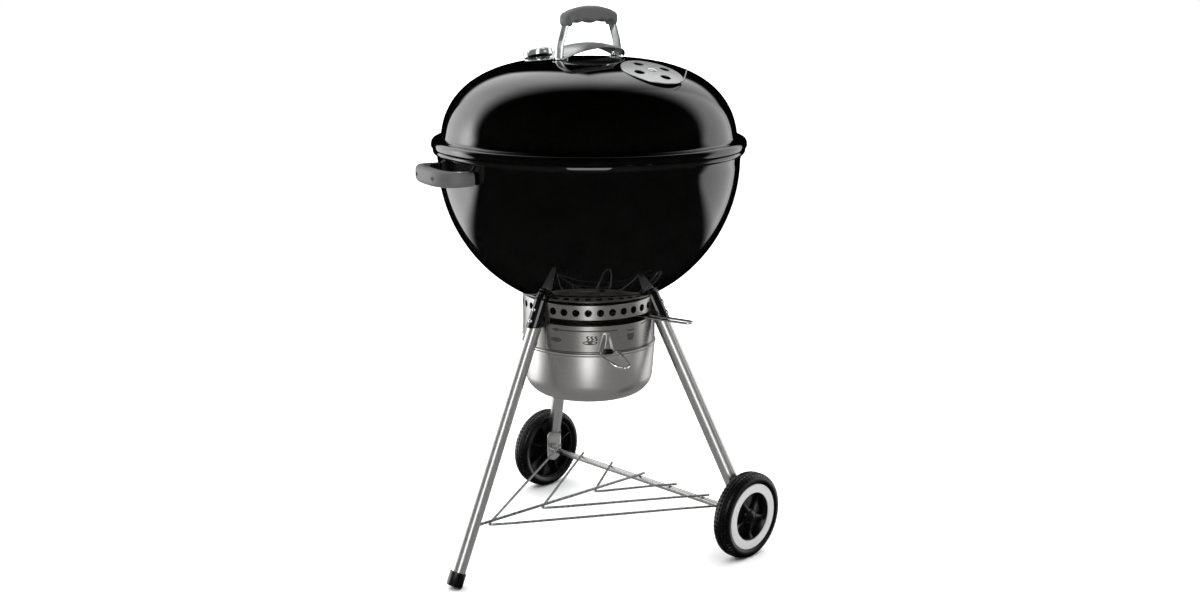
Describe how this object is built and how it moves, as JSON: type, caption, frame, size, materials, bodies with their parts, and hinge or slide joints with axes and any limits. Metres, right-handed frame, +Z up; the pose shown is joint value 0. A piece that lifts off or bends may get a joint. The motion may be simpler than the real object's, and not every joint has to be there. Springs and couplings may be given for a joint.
{
  "type": "kettle charcoal grill",
  "caption": "Round kettle charcoal grill on a three-legged stand with two wheels, lift-off vented lid, grates, ash sweep and drop-off ash pan.",
  "frame": {"origin": "centre of the bounding box at floor level", "axes": "+Z up, +X along the axle, -Y towards the front leg"},
  "size_m": [0.5882, 0.6932, 1.0288],
  "materials": {
    "enamel": "gloss black porcelain enamel",
    "stainless": "brushed stainless",
    "aluminium": "spun and brushed",
    "plated_steel": "satin plated tube and wire",
    "chrome": "bright plated",
    "grey_nylon": "glass filled nylon",
    "black_plastic": "moulded",
    "pale_trim": "satin"
  },
  "bodies": {
    "stand": {"bowl": "enamel", "ash_ring": "stainless", "leg_front": "plated_steel", "leg_right": "plated_steel", "leg_left": "plated_steel", "leg_socket_front": "enamel", "leg_socket_right": "enamel", "leg_socket_left": "enamel", "leg_screw_upper_front": "chrome", "leg_screw_upper_right": "chrome", "leg_screw_upper_left": "chrome", "leg_screw_lower_front": "chrome", "leg_screw_lower_right": "chrome", "leg_screw_lower_left": "chrome", "foot_cap": "black_plastic", "axle": "plated_steel", "rack_spine": "plated_steel", "rack_bend_outer": "plated_steel", "rack_bend_middle": "plated_steel", "rack_bend_inner": "plated_steel", "bowl_grip_1": "grey_nylon", "bowl_grip_2": "grey_nylon", "bowl_grip_strap_1": "plated_steel", "bowl_grip_strap_2": "plated_steel"},
    "wheel_right": {"wheel_tyre_right": "black_plastic", "wheel_hub_right": "black_plastic", "wheel_trim_right": "pale_trim", "wheel_cap_right": "black_plastic"},
    "wheel_left": {"wheel_tyre_left": "black_plastic", "wheel_hub_left": "black_plastic", "wheel_trim_left": "pale_trim", "wheel_cap_left": "black_plastic"},
    "sweep": {"sweep_lever": "plated_steel", "sweep_shaft": "stainless", "sweep_blades": "stainless", "sweep_nut": "stainless"},
    "ash_pan": {"ash_pan": "aluminium", "pan_hinge": "black_plastic"},
    "pan_handle": {"pan_handle": "plated_steel"},
    "lid": {"lid": "enamel", "lid_strap": "chrome", "lid_grip": "grey_nylon", "lid_heat_shield": "aluminium", "lid_bolt_near": "chrome", "lid_bolt_far": "chrome", "gauge_case": "chrome", "gauge_dial": "pale_trim", "damper_rivet": "chrome"},
    "gauge_needle": {"gauge_needle": "black_plastic"},
    "lid_damper": {"lid_damper": "aluminium"},
    "cooking_grate": {"cooking_grate": "plated_steel"},
    "charcoal_grate": {"charcoal_grate": "plated_steel"}
  },
  "joints": [
    {"name": "lid_lift", "type": "slide", "parent": "stand", "child": "lid", "axis": [0, 0, 1], "range_m": [0, 0.4]},
    {"name": "cooking_grate_lift", "type": "slide", "parent": "stand", "child": "cooking_grate", "axis": [0, 0, 1], "range_m": [0, 0.2]},
    {"name": "charcoal_grate_lift", "type": "slide", "parent": "stand", "child": "charcoal_grate", "axis": [0, 0, 1], "range_m": [0, 0.1]},
    {"name": "lid_damper_turn", "type": "hinge", "parent": "lid", "child": "lid_damper", "pos_m": [0.16095, 0.00757, 0.92026], "axis": [0.2967, -0.0078, 0.9549], "range_deg": [-45, 45]},
    {"name": "gauge_needle_turn", "type": "hinge", "parent": "lid", "child": "gauge_needle", "pos_m": [-0.13992, 0.01667, 0.92588], "axis": [-0.2219, 0.0077, 0.975], "range_deg": [-110, 150], "stiffness_Nm_per_rad": 0.002},
    {"name": "sweep_turn", "type": "hinge", "parent": "stand", "child": "sweep", "pos_m": [0, 0.01179, 0.46479], "axis": [0, 0, 1], "range_deg": [-86, 3]},
    {"name": "ash_pan_drop", "type": "slide", "parent": "stand", "child": "ash_pan", "axis": [0, 0, -1], "range_m": [0, 0.12]},
    {"name": "pan_handle_fold", "type": "hinge", "parent": "ash_pan", "child": "pan_handle", "pos_m": [0.11873, -0.05676, 0.41379], "axis": [0.5, 0.866, 0], "range_deg": [-60, 0]},
    {"name": "wheel_right_spin", "type": "hinge", "parent": "stand", "child": "wheel_right", "pos_m": [0.277, 0.15822, 0.0828], "axis": [1, 0, 0], "continuous": true},
    {"name": "wheel_left_spin", "type": "hinge", "parent": "stand", "child": "wheel_left", "pos_m": [-0.277, 0.15822, 0.0828], "axis": [1, 0, 0], "continuous": true}
  ],
  "couplings": [
    {"joint": "cooking_grate_lift", "follows": "lid_lift", "ratio": 0.5},
    {"joint": "charcoal_grate_lift", "follows": "lid_lift", "ratio": 0.25}
  ]
}
